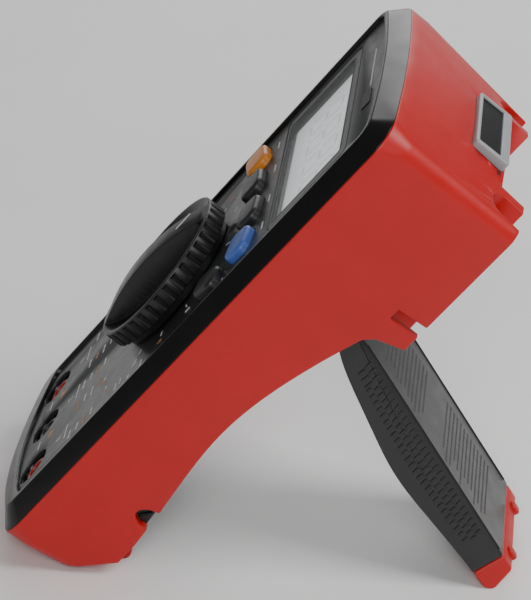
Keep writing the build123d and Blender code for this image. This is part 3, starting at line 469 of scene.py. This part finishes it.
def print_lower_rows():
    """Print the rows of short bars between the knob and the jacks."""
    for row, y in enumerate(LOWER_ROWS):
        for x in LOWER_COLUMNS:
            shape = orange_marks if (row + int(x)) % 3 == 1 else light_marks
            print_bars(shape, x, y, 0.75, (-2.6, -0.6), (0, 1.2 + row % 2))


print_dial()
print_jack_marks()
print_lower_rows()
for x, y in BUTTON_BARS:
    print_bars(light_marks, x, y, 0.6, (-2.2, 2.2))
# A thin line near the top end leads to a plain badge.
light_marks.stroke((-20.0, 79.6), (6.0, 79.6), 0.55, 0, PRINT)
light_marks.done("panel_marks", "meter", "panel", FACE, light_ink)
orange_marks.done("panel_orange_marks", "meter", "panel", FACE, orange_ink)
badge = Shape()
badge.prism(rounded_box(BADGE, *BADGE_SIZE, 0.5), 0, BADGE_HIGH)
badge.done("panel_badge", "meter", "panel", FACE, dark_ink, 0.1)

# ---- Display ----

SUNK = -0.14                 # the surround and the inner line lie this far below the face
SURROUND = (72.2, 33.8)      # outer size of the dark surround
OPENING = (64.6, 30.6)       # and the opening in it
INNER_LINE = (64.2, 30.2)
OUTER_LINE = (73.2, 34.8)

lines = Shape()
lines.band(rounded_box((0, LCD_Y), *INNER_LINE, 1.2), 0.7, SUNK, -0.08)
lines.band(rounded_box((0, WINDOW_Y), *OUTER_LINE, 3.0), 0.35, 0, 0.05)
lines.done("display_outline", "meter", "clear", FACE, dark_ink)
surround = Shape()
for height in (SUNK, -0.11):
    surround.sheet(rounded_box((0, WINDOW_Y), *SURROUND, 2.6), rounded_box((0, LCD_Y), *OPENING, 1.2), height)
surround.done("display_surround", "meter", "clear", FACE, finishes["panel"])

DIGITS = 4
DIGIT_LEFT = -25.0           # lower left corner of the first digit
DIGIT_FOOT = 46.0
DIGIT_PITCH = 13.4
DIGIT_WIDE = 8.0
DIGIT_TALL = 15.0
SLANT = 0.10
SEGMENT = 1.3                # width of a segment
TRIM = 0.9                   # a segment stops this far from each corner
SEGMENT_Z = (-2.89, -2.86)   # the segments lie on the display glass
POINT_RIGHT = 2.4            # the decimal point stands this far to the right of its digit
POINT_R = 0.8


def unlit_digit(shape, left):
    """Add the seven segments and the point of one digit."""
    corners = []
    for level in range(3):
        y = DIGIT_FOOT + DIGIT_TALL * level / 2
        shift = SLANT * DIGIT_TALL * level / 2
        corners.append(((left + shift, y), (left + DIGIT_WIDE + shift, y)))
        shape.stroke((left + shift + TRIM, y), (left + DIGIT_WIDE + shift - TRIM, y), SEGMENT, *SEGMENT_Z)
    for lower, upper in zip(corners, corners[1:]):
        for low_end, high_end in zip(lower, upper):
            low_end, high_end = Vector(low_end), Vector(high_end)
            trim = (high_end - low_end).normalized() * TRIM
            shape.stroke(low_end + trim, high_end - trim, SEGMENT, *SEGMENT_Z)
    shape.prism(circle((left + DIGIT_WIDE + POINT_RIGHT, DIGIT_FOOT), POINT_R, 16), *SEGMENT_Z)


digits = Shape()
for place in range(DIGITS):
    unlit_digit(digits, DIGIT_LEFT + DIGIT_PITCH * place)
digits.done("display_digits", "meter", "lcd", FACE, digit_grey)

# ---- Selector knob ----

# A light stripe on top of the grip bar near its upper end: the knob's pointer mark, which also paints in the
# highlight that falls there.
POINTER_AND_HIGHLIGHT_ENDS = (12.0, 20.0)  # distances from the middle of the knob
POINTER_AND_HIGHLIGHT_Z = (11.78, 11.86)

pointer_and_highlight = Shape()
pointer_and_highlight.stroke((0, POINTER_AND_HIGHLIGHT_ENDS[0]), (0, POINTER_AND_HIGHLIGHT_ENDS[1]), 1.3, *POINTER_AND_HIGHLIGHT_Z)
pointer_and_highlight.done("knob_pointer_and_highlight", "knob", "knob_black", KNOB, light_ink)

# ---- Tilt stand ----

WALL_SPREAD = 14.5           # height over which the stand grows to its full width
# The walls' inner edge: distances from the hinge, and how far inward of the hinge line it lies.
INNER_EDGE = ((7, 1.6), (12, 3.2), (20, 4.7), (36, 6.8), (51, 8.2), (68, 7.1), (84, 5.4), (92.6, 4.7))
RIBS_FROM = 17.0
RIBS_TO = 83
RIB_PITCH = 2.3
RIB_LENGTH = 2.1             # least length of a rib and the gap after it
RIB_COVER = 0.60             # share of the wall's depth that the ribs cover
RIB_START = 1.5              # the ribs start this far down the wall
RIB_SHIFT = 0.9              # every second rib in a column is moved along by this
RIB_LEAN = 0.5
RIB_GAP = 0.5
RIDGE_X = 20.1
RIDGE_ENDS = (12.0, 90.5)
BUMP_X = 13.0
BUMP_ALONG = 97.2
WORDS_FROM = 22.0
WORDS_TO = 86
WORDS_LEFT = -14.0
WORD_PITCH = 2.1             # distance between two lines of dashes
BLOCK = 9                    # every fourth stretch of this length has no dashes


def wall_depth(along):
    """Return how deep the stand's side wall is at a distance from the hinge."""
    for (a, low), (b, high) in zip(INNER_EDGE, INNER_EDGE[1:]):
        if along <= b:
            return STAND_FACE + low + (high - low) * max(along - a, 0) / (b - a)
    return STAND_FACE + INNER_EDGE[-1][1]


def wall_frame(side):
    """Return the frame of a side wall: x along the stand, y down the wall, z out of it."""
    down = Vector(((STAND_HALF - STAND_TOP_HALF) / WALL_SPREAD, 0, -1)).normalized()
    run = Vector((down.x * side, 0, down.z))
    out = Vector((-down.z * side, 0, down.x))
    matrix = Matrix((Vector((0, 1, 0)), run, out)).transposed().to_4x4()
    matrix.translation = Vector((STAND_TOP_HALF * side, 0, STAND_FACE))
    return matrix


def rib_column(shape, along, wall):
    """Add one column of short leaning ribs down a side wall."""
    reach = wall_depth(along) * RIB_COVER
    rows = max(int(reach / RIB_LENGTH), 2)
    for step in range(rows):
        top = RIB_START + step * reach / rows
        start = along + RIB_SHIFT * (step % 2)
        shape.stroke((start, top), (start + RIB_LEAN, top + reach / rows - RIB_GAP), 1.0, -0.1, 0.32, wall)


ribs = Shape()
for side in (-1, 1):
    along = RIBS_FROM
    while along < RIBS_TO:
        rib_column(ribs, along, wall_frame(side))
        along += RIB_PITCH
ribs.done("stand_grip_ribs", "stand", "stand_grey", STAND, dark_ink, 0.12)

ridges = Shape()
for side in (-1, 1):
    ridges.stroke((side * RIDGE_X, RIDGE_ENDS[0]), (side * RIDGE_X, RIDGE_ENDS[1]), 0.6, 5.45, 5.75)
ridges.done("stand_ridges", "stand", "stand_grey", STAND, rounding=0.12)

bumps = Shape()
for side in (-1, 1):
    bumps.prism(rounded_box((side * BUMP_X, BUMP_ALONG), 3.4, 4.2, 1.2), 4.6, 6.5)
bumps.done("foot_bumps", "stand", "foot_red", STAND, rounding=0.5)

dashes = Shape()
draw = random.Random(7)
line = WORDS_FROM
while line < WORDS_TO:
    if (line // BLOCK) % 4 != 1:
        x = WORDS_LEFT
        limit = 10.0 + draw.random() * 8
        while x < limit:
            long = 0.8 + draw.random() * 2.2
            dashes.stroke((x, line), (x + long, line), 0.75, 5.48, 5.53)
            x += long + 0.6
    line += WORD_PITCH
dashes.done("stand_marks", "stand", "stand_grey", STAND, dark_ink)

# ---- Finger notches ----

NOTCH_RIB = ((-60.4, -30.6), (-57.2, -33.2))
NOTCH_RIB_OUT = (34.2, 36.6)     # distances from the middle of the meter
BACKING = ((-62.2, -28.4), (-53.8, -28.4), (-53.8, -33.6), (-62.2, -34.5))
BACKING_OUT = (33.9, 35.6)

notch = Shape()
backing = Shape()
for side in (-1, 1):
    notch.stroke(*NOTCH_RIB, 1.3, *NOTCH_RIB_OUT, side_frame(side))
    backing.prism(BACKING, *BACKING_OUT, side_frame(side))
notch.done("notch_ribs", "meter", "black_gloss", Matrix.Identity(4), rounding=0.4)
backing.done("notch_backing", "meter", "black_case", Matrix.Identity(4), rounding=0.3)

# ---- Floor, light and camera ----

FLOOR_HALF = 3
AIM = Vector((0, 0, 0.08))   # the middle of the meter, in metres
LENS = 191.873               # fitted to the photo, like the camera's place below
SENSOR = 36

floor_mesh = bpy.data.meshes.new("floor")
floor_corners = [(x * FLOOR_HALF, y * FLOOR_HALF, 0) for x, y in ((-1, -1), (1, -1), (1, 1), (-1, 1))]
floor_mesh.from_pydata(floor_corners, [], [(0, 1, 2, 3)])
floor_mesh.materials.append(floor_paint)
floor = bpy.data.objects.new("floor", floor_mesh)
bpy.context.scene.collection.objects.link(floor)

world = bpy.data.worlds.new("studio")
world.use_nodes = True
world.node_tree.nodes["Background"].inputs["Color"].default_value = (0.93, 0.94, 0.96, 1)
world.node_tree.nodes["Background"].inputs["Strength"].default_value = 0.22
bpy.context.scene.world = world


def softbox(name, place, size, power):
    """Add a soft square light that points at the meter."""
    lamp = bpy.data.lights.new(name, "AREA")
    lamp.shape = "SQUARE"
    lamp.size = size
    lamp.energy = power
    holder = bpy.data.objects.new(name, lamp)
    bpy.context.scene.collection.objects.link(holder)
    holder.location = place
    holder.rotation_mode = "QUATERNION"
    holder.rotation_quaternion = (AIM - Vector(place)).to_track_quat("-Z", "Y")


softbox("key_light", (1.1, 0.05, 0.75), 0.5, 7.0)
softbox("top_light", (0.15, 0.75, 0.95), 0.6, 9.0)
softbox("far_light", (-1.15, 0.05, 0.62), 0.95, 7.0)

camera = bpy.data.objects.new("camera", bpy.data.cameras.new("camera"))
bpy.context.scene.collection.objects.link(camera)
camera.matrix_world = Matrix((
    (-0.09647241, -0.46684452, 0.87906158, 0.83177974),
    (0.99294300, -0.10634097, 0.05249565, 0.04573559),
    (0.06897295, 0.87792242, 0.47380897, 0.52589309),
    (0, 0, 0, 1),
))
camera.data.lens = LENS
camera.data.sensor_width = SENSOR
camera.data.clip_start = 0.01
bpy.context.scene.camera = camera
